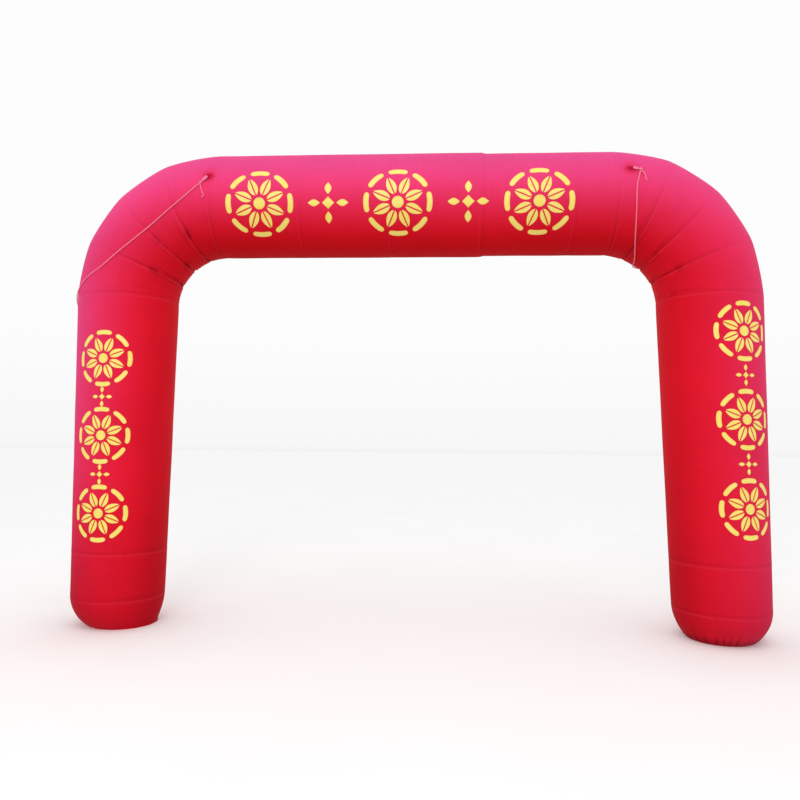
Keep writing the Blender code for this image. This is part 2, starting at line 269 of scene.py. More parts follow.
def linear(hex_colour):
    """An sRGB hex colour as linear red, green, blue and alpha."""
    parts = [int(hex_colour[place : place + 2], 16) / 255 for place in (1, 3, 5)]
    return (*(c / 12.92 if c <= 0.04045 else ((c + 0.055) / 1.055) ** 2.4 for c in parts), 1)


def add_node(tree, kind, inputs=(), **settings):
    """Adds a node with its settings. `inputs` gives a value, or a socket to link, for each name
    or number of an input socket."""
    made = tree.nodes.new(kind)
    for name, value in settings.items():
        setattr(made, name, value)
    for socket, value in dict(inputs).items():
        if isinstance(value, bpy.types.NodeSocket):
            tree.links.new(value, made.inputs[socket])
        else:
            made.inputs[socket].default_value = value
    return made


def new_material(name):
    """A material with an empty node tree, and its tree."""
    material = bpy.data.materials.new(name)
    material.use_nodes = True
    material.node_tree.nodes.clear()
    return material, material.node_tree


def math_node(tree, operation, *values):
    """The result socket of one sum on sockets or numbers."""
    return add_node(tree, "ShaderNodeMath", dict(enumerate(values)), operation=operation).outputs[0]


def mark(tree, name):
    """A point attribute of the mesh."""
    return add_node(tree, "ShaderNodeAttribute", attribute_name=name).outputs["Fac"]


def noise(tree, place, scale, detail, **inputs):
    """Noise with grains of about 1/scale on the given coordinates."""
    inputs = {"Vector": place, "Scale": scale, "Detail": detail, **inputs}
    return add_node(tree, "ShaderNodeTexNoise", inputs).outputs["Fac"]


def relief_of(tree, strength, height):
    """The normal that a height in metres gives to the surface."""
    inputs = {"Strength": strength, "Distance": 1.0, "Height": height}
    return add_node(tree, "ShaderNodeBump", inputs).outputs[0]


def finish_with(tree, inputs):
    """Ends a material with its shader."""
    shader = add_node(tree, "ShaderNodeBsdfPrincipled", inputs)
    add_node(tree, "ShaderNodeOutputMaterial", {"Surface": shader.outputs[0]})


def blend_colour(tree, share, first, second, mode="MIX"):
    """The colour `share` of the way from first to second."""
    mixed = add_node(
        tree, "ShaderNodeMix", {0: share, 6: first, 7: second}, data_type="RGBA", blend_type=mode
    )
    return mixed.outputs[2]


def oxford_cloth():
    """Polyamide oxford, 210 denier, dyed crimson, coated on the inside. It is plain woven with a
    soft gloss: the face looks matt straight on and satiny where light grazes it. Its red is turned
    towards pink by a painted sky sheen where it looks up and outwards, and darkened by painted
    shade near the ground, on the inside of the arch and in the seams; undersides keep the deep red."""
    material, tree = new_material("crimson_oxford_cloth")
    painted_sheen, painted_light_level, offset, drawn, painted_deep_shade = (
        mark(tree, name) for name in ("painted_sheen", "painted_light_level", "seam", "drawn", "painted_deep_shade")
    )
    place = add_node(tree, "ShaderNodeTexCoord")
    cloth = place.outputs["UV"]

    # the red, turned towards pink by the painted sky sheen, then scaled by the painted light and shade
    cloth_colour = blend_colour(tree, painted_sheen, linear("#E3131F"), linear("#EA4C8E"))
    cloth_colour = blend_colour(tree, 1.0, cloth_colour, painted_light_level, "MULTIPLY")

    # dye lots and handling leave broad clouds, half a metre and more across
    cloud = noise(tree, place.outputs["Object"], 1.7, 3.0)
    cloud = math_node(tree, "MULTIPLY_ADD", cloud, 0.22, 0.89)
    # slubs: thick threads, drawn 12 mm wide and 0.3 m long because real ones of 0.5 mm don't show
    warp = add_node(tree, "ShaderNodeMapping", {"Vector": cloth, "Scale": (80.0, 3.3, 1.0)})
    weft = add_node(tree, "ShaderNodeMapping", {"Vector": cloth, "Scale": (3.3, 80.0, 1.0)})
    threads = [noise(tree, way.outputs[0], 1.0, 1.0) for way in (warp, weft)]
    slub = math_node(tree, "ADD", *threads)
    tone = math_node(tree, "MULTIPLY", cloud, math_node(tree, "MULTIPLY_ADD", slub, 0.10, 0.90))
    cloth_colour = blend_colour(tree, 1.0, cloth_colour, tone, "MULTIPLY")

    # each seam is a faint dark line of painted shade where the cloth is drawn in,
    # with a paler ridge below it as a painted highlight
    seam = math_node(tree, "ABSOLUTE", offset)
    broken = math_node(tree, "MULTIPLY", drawn, math_node(tree, "MULTIPLY_ADD", slub, 0.8, 0.1))
    line = math_node(tree, "POWER", 2.718, math_node(tree, "MULTIPLY", seam, -1 / 0.008))
    line = math_node(tree, "MULTIPLY", line, broken)
    cloth_colour = blend_colour(tree, math_node(tree, "MULTIPLY", line, 0.46), cloth_colour, linear("#7A0614"))
    ridge = math_node(tree, "ABSOLUTE", math_node(tree, "ADD", offset, 0.024))
    ridge = math_node(tree, "SUBTRACT", 1.0, math_node(tree, "DIVIDE", ridge, 0.014))
    ridge = math_node(tree, "MULTIPLY", math_node(tree, "MAXIMUM", ridge, 0.0), broken)
    cloth_colour = blend_colour(tree, math_node(tree, "MULTIPLY", ridge, 0.28), cloth_colour, linear("#F2547A"))
    # painted shade inside the folds that close on themselves
    cloth_colour = blend_colour(tree, math_node(tree, "MULTIPLY", painted_deep_shade, 0.75), cloth_colour, linear("#5E0411"))

    # a row of stitches beside each seam, its 3 mm pitch drawn as 22 mm so that it shows
    along = add_node(tree, "ShaderNodeSeparateXYZ", {0: cloth}).outputs["X"]
    dash = math_node(tree, "FRACT", math_node(tree, "DIVIDE", along, 0.022))
    dash = math_node(tree, "LESS_THAN", dash, 0.62)
    row = math_node(tree, "ABSOLUTE", math_node(tree, "SUBTRACT", seam, 0.012))
    stitch = math_node(tree, "MULTIPLY", math_node(tree, "LESS_THAN", row, 0.0018), dash)
    stitched = math_node(tree, "MULTIPLY", stitch, broken)
    cloth_colour = blend_colour(tree, math_node(tree, "MULTIPLY", stitched, 0.36), cloth_colour, linear("#8E0C20"))

    # the weave, threads of 0.5 mm drawn 4 mm apart, and crinkles of 30 to 60 mm in the coated cloth
    weave = [
        add_node(
            tree,
            "ShaderNodeTexWave",
            {"Vector": cloth, "Scale": 250 / (2 * math.pi), "Distortion": 0.4, "Detail": 0.0},
            bands_direction=way,
        ).outputs["Fac"]
        for way in ("X", "Y")
    ]
    weave = math_node(tree, "MULTIPLY", *weave)
    crinkle = noise(tree, place.outputs["Object"], 22.0, 4.0, Distortion=0.6)
    height = math_node(tree, "MULTIPLY", crinkle, 0.0022)
    height = math_node(tree, "MULTIPLY_ADD", weave, 0.0003, height)
    height = math_node(tree, "MULTIPLY_ADD", slub, 0.0004, height)
    height = math_node(tree, "MULTIPLY_ADD", stitch, -0.0008, height)
    finish_with(
        tree,
        {
            "Base Color": cloth_colour,
            "Roughness": math_node(tree, "MULTIPLY_ADD", slub, 0.10, 0.54),
            "Normal": relief_of(tree, 0.55, height),
            "Specular IOR Level": 0.05,
            "Specular Tint": linear("#FF5A82"),
        },
    )
    return material


CLOTH = oxford_cloth()
AROUND = 256
ANGLES = np.linspace(0, 2 * math.pi, AROUND, endpoint=False)
# painted sky sheen on the legs, and painted shade near the ground and on the outer side there
LEG_PAINTED_SHEEN = {"left": (0.30, 0.04), "right": (0.17, 0.50)}  # at a leg's top, and its share at the ground
PAINTED_GROUND_LIGHT = {"left": 0.73, "right": 0.80}  # share of its brightness that the painted shade leaves near the ground
OUTER_PAINTED_SHADE = {"left": 0.20, "right": 0.05}  # how much darker the outer side is near the ground


def painted_sheen_and_shade(side, run, around):
    """The painted sky sheen, and the painted light level that the colour is scaled by. The sheen
    grows on the beam by how far it looks up, and on a leg by how far it looks outwards, less
    towards the ground, and less round a tie patch. Painted shade darkens the cloth near the
    ground and most on the inside of the arch; the beam is a little brighter, but darker on top."""
    outer = np.cos(around)  # 1 on the outside of the arch, -1 on its inside
    height = LEG_TOP_Z + run
    share = np.sin(np.clip(run / BEND_R, 0, math.pi / 2)) ** 2
    strength, at_ground = LEG_PAINTED_SHEEN[side]
    # painted sky sheen: on a leg by how far it looks outwards, on the beam by how far it looks up, less
    # round a tie patch
    leg = 0.03 + strength * (1 + outer) ** 1.8 * (at_ground + (1 - at_ground) * smooth(height, -0.2, 2.9))
    painted_sheen = leg * (1 - share) + smooth(outer, -0.95, 0.85) * share
    painted_sheen = painted_sheen * (1 - 0.55 * np.exp(-((np.hypot(*from_patch(side, run, around)) / 0.065) ** 2)))
    # painted shade: darker near the ground, and more on a leg's outer side there
    painted_ground_shade = PAINTED_GROUND_LIGHT[side] + (1 - PAINTED_GROUND_LIGHT[side]) * smooth(height, -0.3, 1.0)
    painted_ground_shade = painted_ground_shade * (1 - OUTER_PAINTED_SHADE[side] * smooth(outer, -0.2, 0.8) * (1 - smooth(height, 0.2, 1.4)))
    # painted shade on the inside of the arch, most low on the legs and in the bends
    low = 1 - smooth(height, 0.4, 2.8)
    shade = 1 - (0.03 + 0.05 * share) * (1 - smooth(outer, -1.0, 0.2))
    shade = shade * (1 - (0.02 + 0.19 * low + 0.1 * share) * smooth(-outer, 0.5, 1.0) ** 1.2)
    # painted light: the beam a little brighter than the legs, and darker where its top faces up
    top = 1 + 0.05 * share - 0.15 * share**3 * smooth(outer, 0.0, 0.7)
    return np.clip(painted_sheen, 0, 1), painted_ground_shade * shade * top


def panel_runs(start, end, step):
    """Places along a panel, about `step` apart in its middle and closer beside its seams: an
    even spacing mixed with 1 - cos."""
    count = max(20, round((end - start) / step))
    t = np.linspace(0, 1, count)
    even = 0.25 * t + 0.75 * (1 - np.cos(math.pi * t)) / 2
    return start + PANEL_GAP + (end - start - 2 * PANEL_GAP) * even


def dress(piece, node, material):
    """The piece stands in for its CAD node, which is hidden, and takes the given material."""
    piece.data.materials.append(material)
    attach(piece, "root")
    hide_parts(node)


def crease_shade_streaks(side, run, around):
    """Painted shade inside the folds at a bend's inner corner: soft dark streaks that run beside
    each seam, and a few short ones across it."""
    seed = SEED[side]
    inner = (1 - np.cos(around)) / 2
    off = np.abs(seam_offset(run))
    beside = smooth(-waves(run, around, (2, 6), (0.06, 0.13), seed), 0.05, 0.5) * np.exp(-off / 0.09)
    across = smooth(-waves(run, around, (7, 15), (0.4, 0.9), seed + 3), 0.05, 0.5) * np.exp(-off / 0.035)
    streak = (0.55 * beside + 0.75 * across) * smooth(inner, 0.6, 0.98)
    return streak * (0.08 + 0.92 * bend_share(run))


def how_drawn(run, inner):
    """How plainly a seam shows, with its painted shade line, its painted highlight ridge and its
    stitches: all round on the legs, where it is lapped, and elsewhere most on the inside of the
    arch, more in a bend than on the beam."""
    in_bend = bend_share(run)
    on_leg = 1 - smooth(run, -0.02, 0.05)
    above = smooth(inner, 0.25, 0.9) * (0.23 + 0.42 * in_bend)
    return on_leg * (0.28 + 0.12 * inner) + (1 - on_leg) * above


def sew_panel(node, side, runs, points, painted_deep_shade=None):
    """One panel of the tube from its points, with its cloth map in metres and its marks."""
    turns = np.linspace(0, 2 * math.pi * BEAM_TUBE_R, AROUND + 1)
    uv = np.stack(np.broadcast_arrays(turns[None, :], runs[:, None]), -1)
    inner = (1 - np.cos(ANGLES))[None, :] / 2
    where = np.meshgrid(runs, ANGLES, indexing="ij")
    painted_sheen, painted_light_level = painted_sheen_and_shade(side, *where)
    marks = {
        "painted_sheen": painted_sheen,
        "painted_light_level": painted_light_level,
        "seam": np.clip(seam_offset(runs), -0.3, 0.3)[:, None],
        "drawn": how_drawn(runs[:, None], inner),
        "painted_deep_shade": crease_shade_streaks(side, *where) if painted_deep_shade is None else painted_deep_shade,
    }
    piece = skin(f"{node}_cloth", points, uv, marks)
    dress(piece, node, CLOTH)


def blow_up(node, side, start, end, step=0.012):
    """A panel between two seams, blown up to the tube's shape."""
    runs = panel_runs(start, end, step)
    sew_panel(node, side, runs, on_cloth(side, *np.meshgrid(runs, ANGLES, indexing="ij")))


# ---------------------------------------------------------------------------------------------
# Feet. Each is a round end cap: a flat sole on the ground, and a corner where the wall's cloth
# is gathered to the smaller sole, in uneven pleats that are fewer and deeper on the right.

SOLE_R = {"left": 0.28, "right": 0.265}
SOLE_IN = {"left": 0.06, "right": 0.02}  # how much nearer to the arch's middle a sole sits than its foot
CORNER_SLACK = 1.7  # 1 gives a foot's lower corner a full round, and more cuts it off
SOLE_ROWS = 9
CORNER_ROWS = 52
PLEATS = {"left": (0.004, 38, 0.15), "right": (0.012, 28, 1.0)}  # depth, number and darkness of the pleats

for side in SIGN:
    sole = np.linspace(0.06, 1, SOLE_ROWS, endpoint=False)
    angle = np.linspace(0, math.pi / 2, CORNER_ROWS)
    height = FOOT_SEAM + LEG_TOP_Z - PANEL_GAP
    rise = np.concatenate([0 * sole, height * (1 - np.cos(angle))])
    runs = rise - LEG_TOP_Z
    full = tube_frame(side, runs)[2][:, None]
    up = np.concatenate([0 * sole, np.sin(angle)])[:, None]
    radius = SOLE_R[side] + (full - SOLE_R[side]) * up**CORNER_SLACK
    radius[:SOLE_ROWS] *= sole[:, None]
    grid_run, grid_around = np.meshgrid(runs, ANGLES, indexing="ij")
    deep, number, dark = PLEATS[side]
    uneven = 0.9 * np.sin(3 * ANGLES + 1.0) + 0.6 * np.sin(7 * ANGLES)
    fold = 1 - np.abs(np.cos(number / 2 * ANGLES + uneven)) ** 0.7
    strong = 0.65 + 0.35 * np.cos(5 * ANGLES + 0.6) * np.cos(2 * ANGLES)
    envelope = np.concatenate([0 * sole, np.sin(2 * angle) ** 1.3 * (1 - 0.35 * angle)])
    wall = smooth(rise, 0.1, height)
    lift = radius - full - deep * envelope[:, None] * (fold * strong)[None, :]
    lift = lift - relief(side, grid_run, grid_around) * (1 - wall[:, None])
    points = on_cloth(side, grid_run, grid_around, lift)
    points[..., 0] -= SIGN[side] * SOLE_IN[side] * (1 - up)
    points[..., 2] = np.maximum(points[..., 2], 0.0)
    # painted shade inside the deepest pleats low on the foot, and a painted contact shadow where it meets
    # the ground
    closed = smooth(fold, 0.35, 0.85) * smooth(strong, 0.35, 0.85)
    closed = closed[None, :] * smooth(-rise, -0.13, -0.01)[:, None]
    closed = closed + 0.8 * smooth(-rise, -0.08, 0.0)[:, None]
    sew_panel(f"{side}_foot", side, runs, points, np.clip(dark * closed, 0, 1))

# ---------------------------------------------------------------------------------------------
# Leg bands and legs. A band of cloth above each foot, and one long panel up to the first seam
# of the bend.

for side in SIGN:
    blow_up(f"{side}_leg_band", side, FOOT_SEAM, BAND_SEAM)
    blow_up(f"{side}_leg", side, BAND_SEAM, 0.0, step=0.014)

# ---------------------------------------------------------------------------------------------
# Bends. Four gores each, wide on the outside of the arch and narrow on its inside, where the
# cloth bunches up beside every seam.

for side in SIGN:
    for number, (start, end) in enumerate(zip(GORE_SEAMS, GORE_SEAMS[1:]), 1):
        blow_up(f"{side}_gore_{number}", side, start, end, step=0.0105)

# ---------------------------------------------------------------------------------------------
# Beam. Four panels as wide as the cloth comes off the bolt, and a narrow one to make up the
# length. They are counted from the left bend.

for number, (start, end) in enumerate(zip(BEAM_SEAMS, BEAM_SEAMS[1:]), 1):
    blow_up(f"beam_panel_{number}", "left", start, end)

# ---------------------------------------------------------------------------------------------
# Ornaments. Yellow film cut to shape and stuck on the front of the beam and the legs: rosettes
# of eight split petals in a broken ring, with small lozenges between them.

FILM_LIFT = 0.0011  # top of the film above the cloth
FILM_UNDER = -0.0006  # its underside, just inside the cloth
SHAPE_ROWS = 15
SHAPE_COLUMNS = 7
PETALS = 8


def yellow_film():
    """Self-adhesive vinyl film, cut with a knife: bright yellow, smooth and half glossy, a
    little paler where it is stretched, and browner along its cut edges."""
    material, tree = new_material("yellow_vinyl_film")
    place = add_node(tree, "ShaderNodeTexCoord").outputs["Object"]
    colour = blend_colour(tree, noise(tree, place, 9.0, 3.0), linear("#FAE452"), linear("#FFF18C"))
    browned = math_node(tree, "MULTIPLY", mark(tree, "rim"), 0.5)
    colour = blend_colour(tree, browned, colour, linear("#E8A050"))
    height = math_node(tree, "MULTIPLY", noise(tree, place, 40.0, 2.0), 0.0005)
    normal = relief_of(tree, 0.3, height)
    finish_with(tree, {"Base Color": colour, "Roughness": 0.42, "Normal": normal, "IOR": 1.5})
    return material


def half_petal(start, end, width, gap, way):
    """Two edges from start to end: one straight beside the petal's slit, and the other bulging
    by width/2 times the sine of pi times share^0.85."""
    share = np.linspace(0, 1, SHAPE_ROWS)
    along = start + (end - start) * share
    bulge = width / 2 * np.sin(math.pi * share**0.85) ** 0.8
    near = np.full(SHAPE_ROWS, gap / 2)
    return np.stack([along, way * near], -1), np.stack([along, way * (near + 0.0015 + bulge)], -1)


def arc_stroke(inner, outer, middle, half_angle):
    """Two edges along circles of two radii, rounded at both ends by the fourth root of 1 - t^4."""
    share = np.linspace(-1, 1, SHAPE_ROWS)
    angle = middle + half_angle * share
    heading = np.stack([np.cos(angle), np.sin(angle)], -1)
    half = (outer - inner) / 2 * np.maximum(1 - share**4, 0.004) ** 0.25
    centre = (outer + inner) / 2
    return (centre - half)[:, None] * heading, (centre + half)[:, None] * heading


def disc(radius, power=2.0):
    """Two edges from one side of a disc to the other; power 1 makes it a lozenge."""
    angle = np.linspace(0.04, math.pi - 0.04, SHAPE_ROWS)
    along = -radius * np.cos(angle)
    half = radius * np.maximum(1 - np.abs(np.cos(angle)) ** power, 0) ** (1 / power)
    return np.stack([along, -half], -1), np.stack([along, half], -1)


def turned(edges, angle):
    """The same edges turned about the motif's middle."""
    cos, sin = math.cos(angle), math.sin(angle)
    spin = np.array([[cos, sin], [-sin, cos]])
    return tuple(edge @ spin for edge in edges)


def rosette(radius):
    """Edges of all the shapes in one rosette, in its own plane."""
    shapes = [disc(radius * 0.17)]
    for petal in range(PETALS):
        angle = 2 * math.pi * (petal + 0.5) / PETALS
        for way in (-1, 1):
            half = half_petal(radius * 0.25, radius * 0.76, radius * 0.24, radius * 0.035, way)
            shapes.append(turned(half, angle))
        shapes.append(arc_stroke(radius * 0.84, radius, angle + math.pi / PETALS, math.pi / PETALS * 0.78))
    return shapes


def leaf(start, end, width):
    """Two edges from start to end, each bulging by width/2 times the sine of pi times the share."""
    share = np.linspace(0, 1, SHAPE_ROWS)
    along = start + (end - start) * share
    half = 0.0015 + width / 2 * np.sin(math.pi * share)
    return np.stack([along, -half], -1), np.stack([along, half], -1)


def lozenge(radius):
    """A small lozenge with a pointed leaf on each of its four sides."""
    edges = leaf(radius * 0.42, radius, radius * 0.32)
    return [disc(radius * 0.3, 1.0), *(turned(edges, math.pi / 2 * number) for number in range(4))]


def stick_on(name, side, run, around, shapes, material):
    """Lays the shapes on the cloth about a place. Each is a flat strip between its two edges,
    closed underneath, and all are joined into one piece."""
    radius = float(tube_frame(side, np.array(run))[2])
    share = np.linspace(0, 1, SHAPE_COLUMNS)
    parts = []
    for first, second in shapes:
        top = first[:, None] + (second - first)[:, None] * share[None, :, None]
        loop = np.concatenate([top, top[:, ::-1]], axis=1)
        lift = np.repeat((FILM_LIFT, FILM_UNDER), SHAPE_COLUMNS)[None, :] + np.zeros((SHAPE_ROWS, 1))
        rim = np.concatenate([np.abs(2 * share - 1) ** 4] * 2)[None, :] + np.zeros((SHAPE_ROWS, 1))
        rim[[0, -1]] = 1
        rings = on_cloth(side, run + loop[..., 0], around + loop[..., 1] / radius, lift)
        parts.append(skin(f"{name}_{len(parts)}", rings, marks={"rim": rim}))
    piece = parts[0]
    with bpy.context.temp_override(active_object=piece, selected_editable_objects=parts):
        bpy.ops.object.join()
    piece.name = piece.data.name = name
    piece.data.materials.append(material)
    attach(piece, "root")


FILM = yellow_film()
BEAM_LINE = math.radians(105)  # the beam's row sits this far round from its top
BEAM_MIDDLE_RUN = BEND_LENGTH + BEND_X - 0.105
BEAM_ROW = ((-1.17, 0.29), (-0.585, 0.17), (0.0, 0.29), (0.585, 0.17), (1.17, 0.29))
for number, (at, size) in enumerate(BEAM_ROW, 1):
    shapes = rosette(size) if size > 0.2 else lozenge(size)
    stick_on(f"beam_ornament_{number}", "left", BEAM_MIDDLE_RUN + at, BEAM_LINE, shapes, FILM)

LEG_ROWS = {  # angle around, height of the middle, half the distance between rosettes, their radius
    "left": (math.radians(88), 1.63, 0.325, 0.24),
    "right": (math.radians(74), 1.81, 0.355, 0.245),
}
for side, (around, middle_z, pitch, size) in LEG_ROWS.items():
    for number, step in enumerate((-2, -1, 0, 1, 2), 1):
        shapes = lozenge(0.085) if step % 2 else rosette(size)
        run = middle_z + pitch * step - LEG_TOP_Z
        stick_on(f"{side}_leg_ornament_{number}", side, run, around, shapes, FILM)

# ---------------------------------------------------------------------------------------------
# Tie patches. A round patch of the same cloth on each shoulder, drawn up with a running stitch
# into deep folds round a nub, to which the tab is sewn.

PATCH_R = 0.052
PATCH_ROWS = 30
PATCH_AROUND = 144
UNDER_ROWS = 6  # rings of its underside


def gathered_cloth():
    """The same oxford cloth, doubled and gathered: pink round its rim like the shoulder's painted sky
    sheen, and deep red as painted shade in the folds that run in under the nub."""
    material, tree = new_material("gathered_oxford_cloth")
    place = add_node(tree, "ShaderNodeTexCoord").outputs["Object"]
    grain = noise(tree, place, 160.0, 3.0)
    colour = blend_colour(tree, mark(tree, "fold"), linear("#CE103E"), linear("#E0386A"))
    colour = blend_colour(tree, math_node(tree, "MULTIPLY", grain, 0.15), colour, linear("#E84A7C"))
    height = math_node(tree, "MULTIPLY", grain, 0.0006)
    finish_with(
        tree,
        {
            "Base Color": colour,
            "Roughness": 0.6,
            "Normal": relief_of(tree, 0.5, height),
            "Specular IOR Level": 0.25,
            "Specular Tint": linear("#FF5A82"),
        },
    )
    return material


def on_shoulder(side, place, along, across, lift):
    """Points `along` and `across` a place on a shoulder, in metres, over the cloth there."""
    bend_angle, angle = (math.radians(value) for value in place)
    radius = float(tube_frame(side, np.array(bend_angle * BEND_R))[2])
    stretch = 1 + radius * math.cos(angle) / BEND_R
    return on_cloth(side, bend_angle * BEND_R + along / stretch, angle + across / radius, lift)


GATHERED = gathered_cloth()
for side in SIGN:
    share = np.linspace(0.02, 1, PATCH_ROWS)[:, None]
    turn = np.linspace(0, 2 * math.pi, PATCH_AROUND, endpoint=False)[None, :]
    fold = np.cos(12 * turn + 1.2 * np.sin(2 * turn) + 2.5 * (1 - share))
    crest = 0.0015 + 0.0165 * np.exp(-((share / 0.30) ** 2)) + 0.0045 * (1 - share)
    lift = crest + 0.0028 * fold * np.sin(math.pi * np.clip(share * 1.1, 0, 1)) ** 0.8
    reach = PATCH_R * share * (1 + 0.05 * share * fold)
    under = np.linspace(1, 0.05, UNDER_ROWS)[:, None]
    reach = np.concatenate([reach, PATCH_R * under * (1 + 0.05 * under * fold[-1:])])
    lift = np.concatenate([lift, np.full((UNDER_ROWS, PATCH_AROUND), -0.0015)])
    # painted light level: deep red as painted shade in the fold valleys and towards the nub, pink at the
    # rim and underneath
    valley = 0.5 - 0.5 * fold * (0.4 + 0.6 * np.cos(turn) ** 2)
    painted_light_level = smooth(share - 0.5 * valley, 0.05, 0.75)
    painted_light_level = np.concatenate([painted_light_level, np.ones((UNDER_ROWS, PATCH_AROUND))])
    heading = np.broadcast_to(turn, reach.shape)
    rings = on_shoulder(side, TIES[side]["patch"], reach * np.cos(heading), reach * np.sin(heading), lift)
    patch = skin(f"{side}_gathered_patch", rings, marks={"fold": painted_light_level})
    dress(patch, f"{side}_tie_patch", GATHERED)

# ---------------------------------------------------------------------------------------------
# Tabs. A strap of doubled cloth from each patch's nub to the knot, 28 mm wide and folded
# narrower where the rope grips it.

KNOT_R = 0.014
TAB_W = 0.028
TAB_THICK = 0.004
ROPE_R = 0.005
ROPE_CLEAR = 0.0025


def strap_cloth():
    """Doubled oxford cloth, sewn along both edges, in a dusty pink: the red cloth with a painted
    highlight, as if sunlit.
    """
    material, tree = new_material("painted_highlight_strap_cloth")
    place = add_node(tree, "ShaderNodeTexCoord").outputs["Object"]
    grain = noise(tree, place, 220.0, 3.0)
    # the red cloth drawn pale pink, a painted highlight
    colour = blend_colour(tree, grain, linear("#E25C84"), linear("#F08CAC"))
    sewn = math_node(tree, "MULTIPLY", mark(tree, "edge"), 0.5)
    colour = blend_colour(tree, sewn, colour, linear("#A82048"))
    height = math_node(tree, "MULTIPLY", grain, 0.0004)
    normal = relief_of(tree, 0.5, height)
    finish_with(
        tree,
        {"Base Color": colour, "Roughness": 0.6, "Normal": normal, "IOR": 1.45, "Sheen Weight": 0.25},
    )
    return material


def on_tube(side, place, lift):
    """A point `lift` above the plain tube at a (bend angle, angle around) place."""
    run, around = np.radians(place) * (BEND_R, 1)
    return on_round(side, run, around, np.array(lift))


def off_tube(side, place):
    """The way straight off the plain tube at a place."""
    return on_tube(side, place, 1.0) - on_tube(side, place, 0.0)


STRAP = strap_cloth()
for side in SIGN:
    patch_at, knot_at = (on_tube(side, TIES[side][name], 0.0) for name in ("patch", "knot"))
    up = off_tube(side, TIES[side]["patch"])
    along = (knot_at - patch_at) / np.linalg.norm(knot_at - patch_at)
    across = np.cross(up, along)
    across /= np.linalg.norm(across)
    share = np.linspace(0, 1, 36)
    first, last = PATCH_R * 0.30, np.linalg.norm(knot_at - patch_at) - KNOT_R * 0.9
    width = TAB_W * (0.85 + 0.2 * np.sin(math.pi * share) - 0.4 * smooth(share, 0.45, 1.0))
    lift = 0.0150 + 0.0020 * share
    turn = np.linspace(0, 2 * math.pi, 28, endpoint=False)
    wide = np.sign(np.cos(turn)) * np.abs(np.cos(turn)) ** 0.35
    thick = np.sign(np.sin(turn)) * np.abs(np.sin(turn)) ** 0.6
    crease = 0.0012 * np.cos(math.pi * wide)[None, :] * smooth(share, 0.3, 1.0)[:, None]
    rings = (
        patch_at
        + (along * (first + (last - first) * share)[:, None] + up * lift[:, None])[:, None]
        + across * (width[:, None] / 2 * wide[None, :])[..., None]
        + up * (TAB_THICK / 2 * thick[None, :] + crease)[..., None]
    )
    tab = skin(f"{side}_strap", rings, marks={"edge": (np.abs(wide) ** 6)[None, :]})
    dress(tab, f"{side}_tie_tab", STRAP)

# ---------------------------------------------------------------------------------------------
# Guy ropes and their knots. Three-strand nylon rope, 10 mm thick, knotted round each tab. The
# rope lies round the shoulder, hangs down behind the leg and ends in a coil behind the foot.

STRANDS = 3
LAY = 0.040  # length in which a strand goes once round the rope
ROPE_AROUND = 18
ROPE_STEP = 0.0034
COIL_R = 0.058
COIL_BACK = 0.21
ROUTES = {
    "left": (
        (75, 94), (63, 101), (49, 104), (36, 101), (23, 92), (13, 79), (6, 56),
        (0, 32), (-8, 4), (-18, -24), (-30, -48), (-45, -66), (-62, -76), (-80, -80),
    ),
    "right": (
        (80.3, 80), (80.5, 89), (79, 105), (76, 122), (71, 140), (65.3, 154), (59.8, 166), (56, 176),
        (54, 186), (52.5, 196), (50, 206), (45, 218), (37, 230), (27, 241), (14, 251), (0, 257),
        (-15, 260.5), (-32, 262),
    ),
}
# how each rope turns onto the ground: share of the way back to its coil, height of its middle
LANDING = ((0.0, 0.16), (0.04, 0.085), (0.15, 0.032), (0.35, 0.0075), (0.65, 0.0055), (1.0, 0.0055))
COIL_DEGREES = 1232  # nearly three and a half turns
WHIPPING_R = 1.12 * ROPE_R
WHIPPING_POINTS = 8  # the last ones of the rope's path, about 30 mm
KNOT_ROPE_R = 0.0046  # thinner, because it is pulled tight
KNOT_LOOP = 0.0036


def nylon_rope():
    """Three-strand laid nylon, spun from white yarn that has taken up some of the cloth's dye:
    rose pink, soft and slightly shiny, with painted shade in the grooves between the strands."""
    material, tree = new_material("laid_nylon_rope")
    place = add_node(tree, "ShaderNodeTexCoord").outputs["Object"]
    fibre = noise(tree, place, 400.0, 2.0)
    colour = blend_colour(tree, fibre, linear("#F86E90"), linear("#FF98AE"))
    # painted shade in the grooves between the strands
    colour = blend_colour(tree, mark(tree, "painted_groove_shade"), colour, linear("#CC4468"))
    height = math_node(tree, "MULTIPLY", fibre, 0.0003)
    normal = relief_of(tree, 0.5, height)
    finish_with(
        tree,
        {"Base Color": colour, "Roughness": 0.55, "Normal": normal, "IOR": 1.53, "Sheen Weight": 0.2},
    )
    return material


